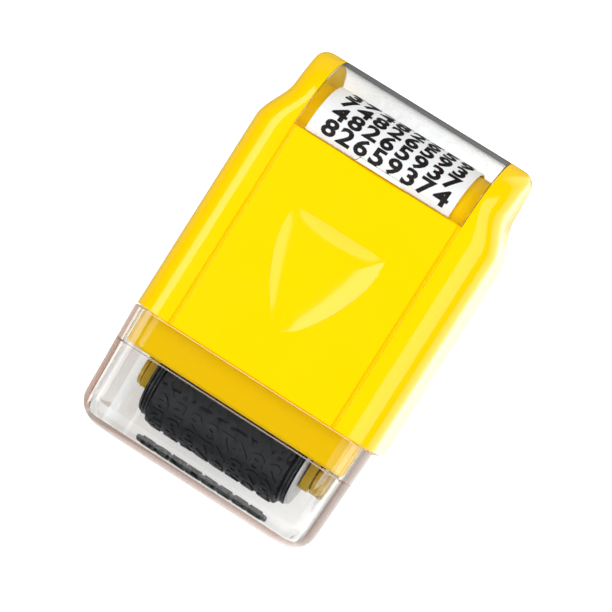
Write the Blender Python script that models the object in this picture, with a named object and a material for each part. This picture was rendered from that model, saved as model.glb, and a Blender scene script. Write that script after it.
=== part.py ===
"""Self-inking roller stamp that prints a masking pattern over addresses.

The stamp lies on its back. +X runs across it, +Y runs towards the window end, -Y towards the
capped roller, and +Z is up through the front face. The origin is under the middle of the part,
on the plane of the rear face. All sizes are in metres.
"""

import math

import bmesh
import bpy

MM = 0.001

# Clearances and overruns
SEAT_GAP = 0.3 * MM
OVERRUN = 2.0 * MM

# Housing, front and rear shells together
BODY_WIDTH = 45.9 * MM
BODY_DEPTH = 25.0 * MM
BODY_LENGTH = 51.7 * MM
SHELL_WALL = 2.0 * MM
RAIL_RADIUS = 5.0 * MM
ARM_RADIUS = 3.8 * MM
ARM_THICKNESS = 4.35 * MM
SHOULDER_DEPTH = 2.5 * MM
SHOULDER_START = 15.7 * MM
SHOULDER_RUN = 8.0 * MM
NOSE_RUN = 14.8 * MM
NOSE_FLAT = 1.6 * MM
NOSE_CORNER = 1.9 * MM

# Neck that the cap slides over
NECK_CLEARANCE = 1.0 * MM
NECK_LENGTH = 6.15 * MM
NECK_WALL = 1.5 * MM
NECK_RADIUS = 3.2 * MM
NECK_CHAMFER = 0.4 * MM

# Front face
GROOVE_WIDTH = 0.8 * MM
GROOVE_DEPTH = 0.45 * MM
THUMB_WIDTH = 17.4 * MM
THUMB_LENGTH = 18.8 * MM
THUMB_DEPTH = 1.1 * MM
THUMB_SLOPE_RUN = 2.2 * MM
DISH_MARGIN = 0.4 * MM
THUMB_LEAD = 10.9 * MM
NAIL_WIDTH = 12.6 * MM
NAIL_REACH = 0.8 * MM
NAIL_DEPTH = 1.0 * MM

# Window end
WINDOW_LENGTH = 13.75 * MM
WINDOW_WALL = 1.2 * MM
WINDOW_SPACE = 2.8 * MM
LABEL_MARGIN = 2.4 * MM
LABEL_SHIFT = -0.6 * MM
LABEL_THICKNESS = 0.25 * MM
BED_LEAD = 0.6 * MM

# Cap
CAP_LENGTH = 20.9 * MM
CAP_WALL = 1.5 * MM
CAP_LEDGE = 0.35 * MM
CAP_TAPER = 0.8 * MM
CAP_CORNER = 4.4 * MM
CAP_EDGE = 2.0 * MM
CAP_INNER_CORNER = 1.2 * MM
CAP_INNER_EDGE = 0.8 * MM

# Pins and sockets that locate the two shells
BOSS_RADIUS = 2.2 * MM
BOSS_INSET = 6.5 * MM
BOSS_LOW = 6.6 * MM
BOSS_PITCH = 8.6 * MM
PIN_RADIUS = 1.0 * MM
PIN_LENGTH = 3.0 * MM
SEAT_RIB_WIDTH = 1.2 * MM
LIP_WIDTH = 0.8 * MM
LIP_HEIGHT = 1.2 * MM

# Printing roller
DIE_RADIUS = 8.0 * MM
DIE_WALL = 2.0 * MM
DRUM_WALL = 1.0 * MM
AXIS_BELOW_NECK = 2.2 * MM
END_RING_RADIUS = 7.0 * MM
END_RING_WIDTH = 0.9 * MM
RING_GROOVE = 0.2 * MM
HUB_RADIUS = 6.8 * MM
HUB_DISC = 0.4 * MM
HUB_SPIGOT = 3.0 * MM
AXLE_RADIUS = 1.5 * MM
AXLE_CHAMFER = 0.3 * MM
AXLE_END_GAP = 1.65 * MM

# Frame that carries both rollers
FORK_THICKNESS = 1.5 * MM
FORK_REACH = 3.2 * MM
FORK_TIP = 4.4 * MM
FORK_CHAMFER = 1.6 * MM
FORK_ARM = 7.2 * MM
FORK_FLARE = 3.0 * MM
FRAME_BACK = 1.8 * MM
BUSH_WALL = 0.6 * MM
BUSH_FLANGE = 0.6 * MM
BUSH_RIM = 0.8 * MM

# Ink roller
INK_RADIUS = 6.0 * MM
INK_CORE_RADIUS = 3.0 * MM
INK_AXLE_RADIUS = 1.25 * MM
BLOCK_SIZE = 4.0 * MM
BLOCK_FLANGE = 0.6 * MM
BLOCK_RIM = 0.8 * MM
SLOT_LENGTH = 11.4 * MM
BACK_CLEARANCE = 3.2 * MM
SPRING_RADIUS = 1.3 * MM
SPRING_WIRE = 0.22 * MM
SPRING_TURNS = 6

# Facets
CORNER_STEPS = 6
NOSE_STEPS = 18
BED_STEPS = 14
ROUND_STEPS = 36
SMALL_ROUND_STEPS = 24
NAIL_STEPS = 14
DISH_STEPS = 7
SPRING_STEPS = 9
SMOOTH_ANGLE = math.radians(32)

# Places worked out from the sizes above
OVERALL_LENGTH = BODY_LENGTH + SEAT_GAP + CAP_LENGTH
ARM_WIDTH = BODY_WIDTH - 2 * SHOULDER_DEPTH
WINDOW_GAP_WIDTH = ARM_WIDTH - 2 * ARM_THICKNESS
GROOVE_SPACING = WINDOW_GAP_WIDTH - GROOVE_WIDTH
LABEL_WIDTH = WINDOW_GAP_WIDTH - 2 * LABEL_MARGIN
NECK_WIDTH = BODY_WIDTH - 2 * (CAP_WALL + NECK_CLEARANCE)
BOSS_SPACING = BODY_WIDTH - 2 * (SHELL_WALL + BOSS_INSET)
MID_Z = BODY_DEPTH / 2
NOSE_Y = OVERALL_LENGTH / 2
COLLAR_Y = NOSE_Y - BODY_LENGTH
NECK_END_Y = COLLAR_Y - NECK_LENGTH
CAP_MOUTH_Y = COLLAR_Y - SEAT_GAP
CAP_END_Y = CAP_MOUTH_Y - CAP_LENGTH
PANEL_TOP_Y = NOSE_Y - WINDOW_LENGTH
BED_HEIGHT = MID_Z - WINDOW_WALL - LABEL_THICKNESS - 3 * SEAT_GAP
BED_Y = PANEL_TOP_Y + BED_LEAD
BED_RUN = WINDOW_LENGTH - WINDOW_WALL - WINDOW_SPACE - LABEL_THICKNESS - SEAT_GAP - BED_LEAD
NECK_HEIGHT = MID_Z - CAP_WALL - SEAT_GAP
CAVITY_HEIGHT = MID_Z - SHELL_WALL
CAVITY_END_Y = PANEL_TOP_Y - SHELL_WALL
AXIS_Y = NECK_END_Y - AXIS_BELOW_NECK
INK_Y = AXIS_Y + DIE_RADIUS + SEAT_GAP + INK_RADIUS
DRUM_RADIUS = DIE_RADIUS - DIE_WALL - SEAT_GAP
AXLE_HALF = NECK_WIDTH / 2 - NECK_WALL - AXLE_END_GAP
FLANGE_START = AXLE_HALF - BUSH_FLANGE
FORK_OUTER = FLANGE_START - SEAT_GAP
FORK_INNER = FORK_OUTER - FORK_THICKNESS
HUB_END = FORK_INNER - SEAT_GAP
HUB_START = HUB_END - HUB_DISC
RING_END = HUB_START - SEAT_GAP
RING_START = RING_END - END_RING_WIDTH
DIE_LENGTH = 2 * (RING_START - SEAT_GAP)
BLOCK_START = FORK_INNER - SEAT_GAP - BLOCK_FLANGE
INK_CORE_HALF = BLOCK_START - 2 * SEAT_GAP
FORK_HEIGHT = NECK_HEIGHT - NECK_WALL - SEAT_GAP
BUSH_BORE = AXLE_RADIUS + SEAT_GAP
BUSH_RADIUS = BUSH_BORE + BUSH_WALL
SLOT_START_Y = INK_Y - BLOCK_SIZE / 2 - SEAT_GAP
SLOT_END_Y = SLOT_START_Y + SLOT_LENGTH
FRAME_BACK_Y = SLOT_END_Y + BACK_CLEARANCE

# Outline of the thumb recess: across from the middle, and up from the tip, as shares of its size
THUMB_SIDE_SHARES = (
    (0.0, 0.0), (0.25, 0.075), (0.47, 0.195), (0.68, 0.345), (0.85, 0.51), (0.97, 0.68), (1.02, 0.84),
    (1.0, 1.0),
)


def clear_objects():
    for item in list(bpy.data.objects):
        bpy.data.objects.remove(item, do_unlink=True)


def make_material(name, colour, roughness, metallic=0.0, alpha=1.0):
    material = bpy.data.materials.new(name)
    material.use_nodes = True
    shader = material.node_tree.nodes["Principled BSDF"]
    shader.inputs["Base Color"].default_value = (*colour, 1.0)
    shader.inputs["Roughness"].default_value = roughness
    shader.inputs["Metallic"].default_value = metallic
    shader.inputs["Alpha"].default_value = alpha
    material.diffuse_color = (*colour, alpha)
    return material


def make_object(name, bm, material=None, origin=(0, 0, 0)):
    """Turns a mesh built in world places into an object whose origin is at the given point."""
    bmesh.ops.recalc_face_normals(bm, faces=bm.faces)
    bmesh.ops.translate(bm, verts=bm.verts, vec=[-value for value in origin])
    mesh = bpy.data.meshes.new(name)
    bm.to_mesh(mesh)
    bm.free()
    mesh.shade_smooth()
    mesh.set_sharp_from_angle(angle=SMOOTH_ANGLE)
    if material:
        mesh.materials.append(material)
    item = bpy.data.objects.new(name, mesh)
    item.location = origin
    bpy.context.scene.collection.objects.link(item)
    return item


def make_tool(name, bm):
    """A shape that only cuts or joins another piece."""
    tool = make_object(name, bm)
    tool.hide_render = True
    tool.display_type = "WIRE"
    return tool


def combine(target, bm, operation, name):
    modifier = target.modifiers.new(name, "BOOLEAN")
    modifier.operation = operation
    modifier.solver = "EXACT"
    modifier.object = make_tool(f"tool_{target.name}_{name}", bm)
    return modifier.object


def cut(target, bm, name):
    return combine(target, bm, "DIFFERENCE", name)


def join(target, bm, name):
    combine(target, bm, "UNION", name)


def skin(rings, closed=False):
    """Joins rings of points into a solid, with a face over each end or the ends joined up."""
    bm = bmesh.new()
    rows = [[bm.verts.new(point) for point in ring] for ring in rings]
    pairs = list(zip(rows, rows[1:]))
    if closed:
        pairs.append((rows[-1], rows[0]))
    else:
        bm.faces.new(rows[0])
        bm.faces.new(rows[-1])
    for near, far in pairs:
        for index in range(len(near)):
            after = (index + 1) % len(near)
            bm.faces.new((near[index], near[after], far[after], far[index]))
    return bm


def prism_x(outline, half_width, centre=0.0):
    """Extrudes an outline of (y, height above the middle plane) across the part."""
    ends = (centre - half_width, centre + half_width)
    return skin([[(x, y, MID_Z + height) for y, height in outline] for x in ends])


def prism_z(outline, low, high):
    """Extrudes an outline of (x, y) from one height above the middle plane to another."""
    return skin([[(x, y, MID_Z + height) for x, y in outline] for height in (low, high)])


def box(low, high):
    """A block between two corners, with heights measured from the middle plane."""
    outline = ((low[0], low[1]), (high[0], low[1]), (high[0], high[1]), (low[0], high[1]))
    return prism_z(outline, low[2], high[2])


def turned(profile, y, steps=ROUND_STEPS, closed=False):
    """Turns a profile of (x, radius) about an axis across the part at y, at mid depth."""
    rings = []
    for x, radius in profile:
        angles = [math.tau * step / steps for step in range(steps)]
        rings.append([(x, y + radius * math.cos(a), MID_Z + radius * math.sin(a)) for a in angles])
    return skin(rings, closed)


def post(x, y, low, high, radius):
    """An upright round post between two heights above the middle plane."""
    angles = [math.tau * step / SMALL_ROUND_STEPS for step in range(SMALL_ROUND_STEPS)]
    return prism_z([(x + radius * math.cos(a), y + radius * math.sin(a)) for a in angles], low, high)


def tube(inner, outer, start, end):
    """Closed profile of a plain sleeve, as (x, radius)."""
    return ((start, inner), (start, outer), (end, outer), (end, inner))


def sided(profile, side):
    return [(side * x, radius) for x, radius in profile]


def arc(radius_a, radius_b, steps):
    """Quarter turn from (radius_a, 0) to (0, radius_b)."""
    angles = [math.pi / 2 * step / steps for step in range(steps + 1)]
    return [(radius_a * math.cos(a), radius_b * math.sin(a)) for a in angles]


def half_section(y, width, height, radius, side, foot=SEAT_GAP / 2):
    """Half of a rounded oblong across the part, with its foot near the middle plane."""
    upright = radius * height / MID_Z
    corner = [
        (width / 2 - radius + x, height - upright + z) for x, z in arc(radius, upright, CORNER_STEPS)
    ]
    right = [(width / 2, foot)] + corner
    points = right + [(-x, z) for x, z in reversed(right)]
    return [(x, y, MID_Z + side * z) for x, z in points]


def full_section(y, width, height, radius):
    """A whole rounded oblong across the part."""
    corner = [(width / 2 - radius + x, height - radius + z) for x, z in arc(radius, radius, CORNER_STEPS)]
    upper = corner + [(-x, z) for x, z in reversed(corner)]
    points = upper + [(x, -z) for x, z in reversed(upper)]
    return [(x, y, MID_Z + z) for x, z in points]


def smooth_step(value):
    value = min(max(value, 0.0), 1.0)
    return value * value * (3 - 2 * value)


def nose_curve(inset=0.0, start_y=None, steps=NOSE_STEPS):
    """Points (y, height) down the rounded end, from the panel to the blunt tip."""
    height = MID_Z - inset
    run = NOSE_RUN - inset
    start_y = NOSE_Y - NOSE_RUN if start_y is None else start_y
    first = math.asin(max(start_y - (NOSE_Y - NOSE_RUN), 0.0) / run)
    last = math.acos(NOSE_FLAT / 2 / height)
    angles = [first + (last - first) * step / steps for step in range(steps + 1)]
    stretch = 1 / math.sin(last)
    return [(NOSE_Y - NOSE_RUN + run * math.sin(a) * stretch, height * math.cos(a)) for a in angles]


def body_width(y):
    """Width of the housing, drawn in at the shoulders and rounded at the tips of the arms."""
    share = smooth_step((y - (NOSE_Y - SHOULDER_START)) / SHOULDER_RUN)
    width = BODY_WIDTH + (ARM_WIDTH - BODY_WIDTH) * share
    past = max(y - (NOSE_Y - NOSE_CORNER), 0.0)
    return width - 2 * (NOSE_CORNER - math.sqrt(max(NOSE_CORNER ** 2 - past ** 2, 0.0)))


def make_shell(name, side, material):
    """One half of the housing: neck, rounded rails, drawn-in shoulders and rounded end."""
    rings = []
    for y, height in [(COLLAR_Y, MID_Z)] + nose_curve():
        share = smooth_step((BODY_WIDTH - body_width(y)) / (BODY_WIDTH - ARM_WIDTH))
        radius = RAIL_RADIUS + (ARM_RADIUS - RAIL_RADIUS) * share
        rings.append(half_section(y, body_width(y), height, radius, side))
    shell = make_object(name, skin(rings), material)

    step_y = COLLAR_Y + SHELL_WALL
    chamfered = (NECK_WIDTH - 2 * NECK_CHAMFER, NECK_HEIGHT - NECK_CHAMFER, NECK_RADIUS)
    neck = [
        half_section(NECK_END_Y, *chamfered, side),
        half_section(NECK_END_Y + NECK_CHAMFER, NECK_WIDTH, NECK_HEIGHT, NECK_RADIUS, side),
        half_section(step_y - SEAT_GAP, NECK_WIDTH, NECK_HEIGHT, NECK_RADIUS, side),
    ]
    join(shell, skin(neck), "neck")
    neck_cut = (NECK_WIDTH - 2 * NECK_WALL, NECK_HEIGHT - NECK_WALL, NECK_RADIUS - NECK_WALL)
    mouth = [half_section(y, *neck_cut, side, -OVERRUN) for y in (NECK_END_Y - OVERRUN, step_y + OVERRUN)]
    cut(shell, skin(mouth), "mouth")
    main_cut = (BODY_WIDTH - 2 * SHELL_WALL, CAVITY_HEIGHT, RAIL_RADIUS - SHELL_WALL)
    cavity = [half_section(y, *main_cut, side, -OVERRUN) for y in (step_y, CAVITY_END_Y)]
    cut(shell, skin(cavity), "cavity")

    hollow, hollow_run = BED_HEIGHT - SHELL_WALL, BED_RUN - SHELL_WALL
    nose_hollow = [(CAVITY_END_Y - OVERRUN, -OVERRUN), (CAVITY_END_Y - OVERRUN, hollow)]
    nose_hollow += [(BED_Y + y, z) for z, y in arc(hollow, hollow_run, BED_STEPS)]
    nose_hollow += [(BED_Y + hollow_run, -OVERRUN)]
    nose_hollow = [(y, side * z) for y, z in nose_hollow]
    cut(shell, prism_x(nose_hollow, WINDOW_GAP_WIDTH / 2 - SHELL_WALL), "nose_hollow")

    far = NOSE_Y + OVERRUN
    recess = [(PANEL_TOP_Y, MID_Z + OVERRUN), (PANEL_TOP_Y, BED_HEIGHT)]
    recess += [(BED_Y + y, z) for z, y in arc(BED_HEIGHT, BED_RUN, BED_STEPS)]
    recess += [(BED_Y + BED_RUN, -OVERRUN), (far, -OVERRUN), (far, MID_Z + OVERRUN)]
    recess = [(y, side * z) for y, z in recess]
    cut(shell, prism_x(recess, WINDOW_GAP_WIDTH / 2), "window_recess")

    for label, centre in (("left", -GROOVE_SPACING / 2), ("right", GROOVE_SPACING / 2)):
        profile = (
            (centre - GROOVE_WIDTH / 2, MID_Z + GROOVE_DEPTH),
            (centre - GROOVE_WIDTH / 2, MID_Z),
            (centre - GROOVE_WIDTH / 4, MID_Z - GROOVE_DEPTH),
            (centre + GROOVE_WIDTH / 4, MID_Z - GROOVE_DEPTH),
            (centre + GROOVE_WIDTH / 2, MID_Z),
            (centre + GROOVE_WIDTH / 2, MID_Z + GROOVE_DEPTH),
        )
        ends = (COLLAR_Y - OVERRUN, PANEL_TOP_Y + GROOVE_WIDTH)
        groove = skin([[(x, y, MID_Z + side * z) for x, z in profile] for y in ends])
        cut(shell, groove, f"groove_{label}")

    rib_half = FORK_OUTER
    rib_tip = FORK_HEIGHT + SEAT_GAP
    rib_root = CAVITY_HEIGHT + SHELL_WALL / 2
    for label, low_y in (
        ("fore", FRAME_BACK_Y - FRAME_BACK - 2 * SEAT_GAP - SEAT_RIB_WIDTH),
        ("aft", FRAME_BACK_Y + SEAT_GAP),
    ):
        heights = sorted((side * rib_tip, side * rib_root))
        rib = box((-rib_half, low_y, heights[0]), (rib_half, low_y + SEAT_RIB_WIDTH, heights[1]))
        join(shell, rib, f"seat_rib_{label}")
    return shell


def boss_places():
    for row in range(2):
        for across in (-BOSS_SPACING / 2, BOSS_SPACING / 2):
            yield across, FRAME_BACK_Y + BOSS_LOW + row * BOSS_PITCH - BOSS_RADIUS


def thumb_outline():
    """Shield-shaped outline of the thumb recess, from its tip up the right side and back."""
    side = [(x * THUMB_WIDTH / 2, y * THUMB_LENGTH) for x, y in THUMB_SIDE_SHARES]
    return side + [(-x, y) for x, y in reversed(side[1:])]


def finish_front(shell):
    """Thumb recess, nail notch at the window, and the sockets for the rear shell's pins."""
    # The recess is a shallow dish that runs out at the three corners of a shield with sloping walls
    tip_y = PANEL_TOP_Y - THUMB_LEAD - THUMB_LENGTH
    reach = (THUMB_WIDTH ** 2 / 4 + THUMB_LENGTH ** 2) / (2 * THUMB_LENGTH)
    shield = []
    for depth_share in (-1.0, 1.5):
        spread = 1 - depth_share * THUMB_SLOPE_RUN / reach
        height = BODY_DEPTH - depth_share * THUMB_DEPTH
        shield.append([
            (x * spread, tip_y + reach + (y - reach) * spread, height) for x, y in thumb_outline()
        ])
    dish = []
    rim = reach + DISH_MARGIN
    for step in range(DISH_STEPS + 2, 0, -1):
        share = step / DISH_STEPS
        angles = [math.tau * turn / ROUND_STEPS for turn in range(ROUND_STEPS)]
        height = BODY_DEPTH - THUMB_DEPTH * (1 - share ** 2)
        dish.append([
            (rim * share * math.cos(a), tip_y + reach + rim * share * math.sin(a), height) for a in angles
        ])
    combine(cut(shell, skin(shield), "thumb_recess"), skin(dish), "INTERSECT", "dish")

    bow = [
        (NAIL_WIDTH / 2 * share, PANEL_TOP_Y - NAIL_REACH * (1 - share ** 2))
        for share in [step / NAIL_STEPS * 2 - 1 for step in range(NAIL_STEPS + 1)]
    ]
    notch = bow + [(NAIL_WIDTH / 2, PANEL_TOP_Y + NAIL_REACH), (-NAIL_WIDTH / 2, PANEL_TOP_Y + NAIL_REACH)]
    cut(shell, prism_z(notch, MID_Z - NAIL_DEPTH, MID_Z + OVERRUN), "nail_notch")

    for index, (x, y) in enumerate(boss_places()):
        join(shell, post(x, y, SEAT_GAP / 2, MID_Z - SHELL_WALL / 2, BOSS_RADIUS), f"socket_{index}")
        hole = post(x, y, -OVERRUN, PIN_LENGTH + SEAT_GAP * 2, PIN_RADIUS + SEAT_GAP)
        cut(shell, hole, f"socket_hole_{index}")


def finish_rear(shell):
    """Lip that stands up inside the front shell, and bosses with the pins that locate it."""
    wall_x = BODY_WIDTH / 2 - SHELL_WALL
    for label, side in (("left", -1), ("right", 1)):
        profile = (
            (wall_x + SHELL_WALL / 2, -SEAT_GAP),
            (wall_x - SEAT_GAP, -SEAT_GAP),
            (wall_x - SEAT_GAP, LIP_HEIGHT),
            (wall_x - LIP_WIDTH, LIP_HEIGHT),
            (wall_x - LIP_WIDTH, -LIP_HEIGHT),
            (wall_x + SHELL_WALL / 2, -LIP_HEIGHT),
        )
        ends = (COLLAR_Y + SHELL_WALL + SEAT_GAP, CAVITY_END_Y - SEAT_GAP)
        join(shell, skin([[(side * x, y, MID_Z + z) for x, z in profile] for y in ends]), f"lip_{label}")

    for index, (x, y) in enumerate(boss_places()):
        join(shell, post(x, y, -MID_Z + SHELL_WALL / 2, -SEAT_GAP / 2, BOSS_RADIUS), f"boss_{index}")
        join(shell, post(x, y, -PIN_LENGTH, PIN_LENGTH, PIN_RADIUS), f"pin_{index}")


def make_cap(material):
    """Clear cap: a drawn box with soft corners and a ledge inside where the neck stops."""
    def section(y, inset):
        share = (CAP_MOUTH_Y - y) / CAP_LENGTH
        width = BODY_WIDTH - 2 * CAP_TAPER * share - 2 * inset
        height = MID_Z - CAP_TAPER / 2 * share - inset
        return width, height, RAIL_RADIUS - inset

    def closed_end(inset, plan, edge):
        """Rings that round the blind end of the cap."""
        rings = []
        for across, along in arc(plan, plan, CORNER_STEPS):
            y = CAP_END_Y + inset + plan - along
            width, height, radius = section(y, inset)
            drawn_in = (width - 2 * (plan - across), height - edge * (1 - across / plan))
            rings.append(full_section(y, *drawn_in, radius))
        return rings

    outside = [full_section(CAP_MOUTH_Y, *section(CAP_MOUTH_Y, 0.0))] + closed_end(0.0, CAP_CORNER, CAP_EDGE)
    cap = make_object("cap", skin(outside), material)
    ledge_y = NECK_END_Y - SEAT_GAP
    inner = CAP_WALL + CAP_LEDGE
    inside = [
        full_section(CAP_MOUTH_Y + OVERRUN, *section(CAP_MOUTH_Y, CAP_WALL)),
        full_section(ledge_y, *section(ledge_y, CAP_WALL)),
        full_section(ledge_y, *section(ledge_y, inner)),
    ] + closed_end(inner, CAP_INNER_CORNER, CAP_INNER_EDGE)
    cut(cap, skin(inside), "inside")
    return cap


def wrapped_outline(outer, inner):
    """Closed outline of a strip bent round the end, from its outer and inner front halves."""
    def whole(half):
        back = [(y, -z) for y, z in reversed(half) if z > SEAT_GAP]
        return half + back
    return whole(outer) + list(reversed(whole(inner)))


def make_window(material):
    """Clear cover bent round the end, flush with the shells, slid on between the arms."""
    start_y = PANEL_TOP_Y + SEAT_GAP
    outer = nose_curve(0.0, start_y)
    inner = nose_curve(WINDOW_WALL, start_y)
    inner[0] = (start_y, inner[0][1])
    outer[0] = (start_y, outer[0][1])
    outline = wrapped_outline(outer, inner)
    return make_object("label_window", prism_x(outline, WINDOW_GAP_WIDTH / 2 - SEAT_GAP), material)


def make_label(material):
    """Printed paper strip wrapped over the rounded bed."""
    def strip(lift):
        height, run = BED_HEIGHT + lift, BED_RUN + lift
        bend = [(BED_Y + y, z) for z, y in arc(height, run, BED_STEPS)]
        return [(PANEL_TOP_Y + SEAT_GAP, height)] + bend

    inner = strip(SEAT_GAP)
    outer = strip(SEAT_GAP + LABEL_THICKNESS)
    outline = wrapped_outline(outer, inner)
    return make_object("pattern_label", prism_x(outline, LABEL_WIDTH / 2, LABEL_SHIFT), material)


def make_frame(material):
    """Moulded fork: two side plates that carry the rollers, joined by a back wall."""
    tip_y = AXIS_Y - FORK_REACH
    wall_y = FRAME_BACK_Y - FRAME_BACK
    tall = CAVITY_HEIGHT - SEAT_GAP
    plan = (
        (-FORK_OUTER, tip_y), (-FORK_INNER, tip_y), (-FORK_INNER, wall_y), (FORK_INNER, wall_y),
        (FORK_INNER, tip_y), (FORK_OUTER, tip_y), (FORK_OUTER, FRAME_BACK_Y), (-FORK_OUTER, FRAME_BACK_Y),
    )
    frame = make_object("roller_frame", prism_z(plan, -tall, tall), material)
    for label, side in (("upper", 1), ("lower", -1)):
        trim = [
            (tip_y - OVERRUN, FORK_TIP / 2),
            (tip_y, FORK_TIP / 2),
            (tip_y + FORK_CHAMFER, FORK_ARM / 2),
            (NECK_END_Y, FORK_ARM / 2),
            (NECK_END_Y + FORK_FLARE, FORK_HEIGHT),
            (wall_y - SEAT_GAP, FORK_HEIGHT),
            (wall_y - SEAT_GAP, tall + OVERRUN),
            (tip_y - OVERRUN, tall + OVERRUN),
        ]
        cut(frame, prism_x([(y, side * z) for y, z in trim], BODY_WIDTH / 2), f"trim_{label}")
    bore = ((-BODY_WIDTH / 2, BUSH_RADIUS + SEAT_GAP), (BODY_WIDTH / 2, BUSH_RADIUS + SEAT_GAP))
    cut(frame, turned(bore, AXIS_Y, SMALL_ROUND_STEPS), "axle_holes")
    slot_half = BLOCK_SIZE / 2 + SEAT_GAP
    low, high = (SLOT_START_Y, -slot_half), (SLOT_END_Y, slot_half)
    cut(frame, box((-BODY_WIDTH / 2, *low), (BODY_WIDTH / 2, *high)), "ink_slots")
    return frame


def make_printing_roller(rubber, dark_plastic, hub_plastic, steel):
    """Rubber die on a drum, with end rings and hubs, all turning on a steel axle."""
    origin = (0, AXIS_Y, MID_Z)
    die = tube(DIE_RADIUS - DIE_WALL, DIE_RADIUS, -DIE_LENGTH / 2, DIE_LENGTH / 2)
    make_object("print_die", turned(die, AXIS_Y, ROUND_STEPS, True), rubber, origin)
    drum = tube(DRUM_RADIUS - DRUM_WALL, DRUM_RADIUS, -RING_END, RING_END)
    make_object("drum_core", turned(drum, AXIS_Y, ROUND_STEPS, True), dark_plastic, origin)

    groove_x = RING_START + END_RING_WIDTH / 2
    ring = (
        (RING_START, DRUM_RADIUS + SEAT_GAP),
        (RING_START, END_RING_RADIUS),
        (groove_x - RING_GROOVE, END_RING_RADIUS),
        (groove_x, END_RING_RADIUS - RING_GROOVE),
        (groove_x + RING_GROOVE, END_RING_RADIUS),
        (RING_END, END_RING_RADIUS),
        (RING_END, DRUM_RADIUS + SEAT_GAP),
    )
    spigot = DRUM_RADIUS - DRUM_WALL - SEAT_GAP
    hub = (
        (HUB_START - HUB_SPIGOT, BUSH_BORE),
        (HUB_START - HUB_SPIGOT, spigot),
        (HUB_START, spigot),
        (HUB_START, HUB_RADIUS),
        (HUB_END, HUB_RADIUS - RING_GROOVE),
        (HUB_END, BUSH_BORE),
    )
    for label, side, plastic in (("left", -1, dark_plastic), ("right", 1, hub_plastic)):
        ring_body = turned(sided(ring, side), AXIS_Y, ROUND_STEPS, True)
        make_object(f"end_ring_{label}", ring_body, dark_plastic, origin)
        hub_body = turned(sided(hub, side), AXIS_Y, ROUND_STEPS, True)
        make_object(f"hub_cap_{label}", hub_body, plastic, origin)
    pin = axle_profile(AXLE_RADIUS, AXLE_HALF)
    make_object("drum_axle", turned(pin, AXIS_Y, SMALL_ROUND_STEPS), steel, origin)


def axle_profile(radius, half_length):
    """Plain pin with chamfered ends, as (x, radius)."""
    return (
        (-half_length, radius - AXLE_CHAMFER),
        (-half_length + AXLE_CHAMFER, radius),
        (half_length - AXLE_CHAMFER, radius),
        (half_length, radius - AXLE_CHAMFER),
    )


def make_bushes(material):
    """Flanged bushes pushed into the fork from outside."""
    bush = (
        (FORK_INNER, BUSH_BORE),
        (FORK_INNER, BUSH_RADIUS),
        (FLANGE_START, BUSH_RADIUS),
        (FLANGE_START, BUSH_RADIUS + BUSH_RIM),
        (AXLE_HALF, BUSH_RADIUS + BUSH_RIM),
        (AXLE_HALF, BUSH_BORE),
    )
    for label, side in (("left", -1), ("right", 1)):
        body = turned(sided(bush, side), AXIS_Y, SMALL_ROUND_STEPS, True)
        make_object(f"axle_bush_{label}", body, material)


def make_ink_roller(foam, core_plastic, steel):
    """Soaked foam sleeve on a plastic core and its own axle, running on the die."""
    origin = (0, INK_Y, MID_Z)
    sleeve = tube(INK_CORE_RADIUS + SEAT_GAP, INK_RADIUS, -DIE_LENGTH / 2, DIE_LENGTH / 2)
    make_object("ink_sleeve", turned(sleeve, INK_Y, ROUND_STEPS, True), foam, origin)
    core = tube(INK_AXLE_RADIUS + SEAT_GAP, INK_CORE_RADIUS, -INK_CORE_HALF, INK_CORE_HALF)
    make_object("ink_core", turned(core, INK_Y, SMALL_ROUND_STEPS, True), core_plastic, origin)
    pin = axle_profile(INK_AXLE_RADIUS, AXLE_HALF)
    make_object("ink_axle", turned(pin, INK_Y, SMALL_ROUND_STEPS), steel, origin)


def make_ink_bearings(material):
    """Sliding blocks that carry the ink roller in the fork's slots."""
    half = BLOCK_SIZE / 2
    rim = half + SEAT_GAP + BLOCK_RIM
    inner = FORK_INNER - SEAT_GAP
    outer = FORK_OUTER + SEAT_GAP
    for label, side in (("left", -1), ("right", 1)):
        def slab(start, end, size):
            low, high = sorted((side * start, side * end))
            return box((low, INK_Y - size, -size), (high, INK_Y + size, size))
        body = slab(inner - BLOCK_FLANGE / 2, outer + BLOCK_FLANGE / 2, half)
        block = make_object(f"ink_bearing_{label}", body, material)
        join(block, slab(BLOCK_START, inner, rim), "inner_flange")
        join(block, slab(outer, outer + BLOCK_FLANGE, rim), "outer_flange")
        bore_radius = INK_AXLE_RADIUS + SEAT_GAP
        bore = ((side * (inner - OVERRUN), bore_radius), (side * (outer + OVERRUN), bore_radius))
        cut(block, turned(bore, INK_Y, SMALL_ROUND_STEPS), "bore")


def make_springs(material):
    """Coil springs that press the ink roller's blocks towards the die."""
    start = INK_Y + BLOCK_SIZE / 2 + SEAT_GAP + BLOCK_RIM + SEAT_GAP + SPRING_WIRE
    end = SLOT_END_Y - SEAT_GAP - SPRING_WIRE
    count = SPRING_TURNS * SPRING_STEPS
    for label, side in (("left", -1), ("right", 1)):
        centre = side * (FORK_INNER + FORK_OUTER) / 2
        rings = []
        for step in range(count + 1):
            turn = math.tau * step / SPRING_STEPS
            y = start + (end - start) * step / count
            ring = []
            for corner in range(CORNER_STEPS):
                angle = math.tau * corner / CORNER_STEPS
                reach = SPRING_RADIUS + SPRING_WIRE * math.cos(angle)
                ring.append((
                    centre + reach * math.cos(turn),
                    y + SPRING_WIRE * math.sin(angle),
                    MID_Z + reach * math.sin(turn),
                ))
            rings.append(ring)
        make_object(f"ink_spring_{label}", skin(rings), material)


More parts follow.
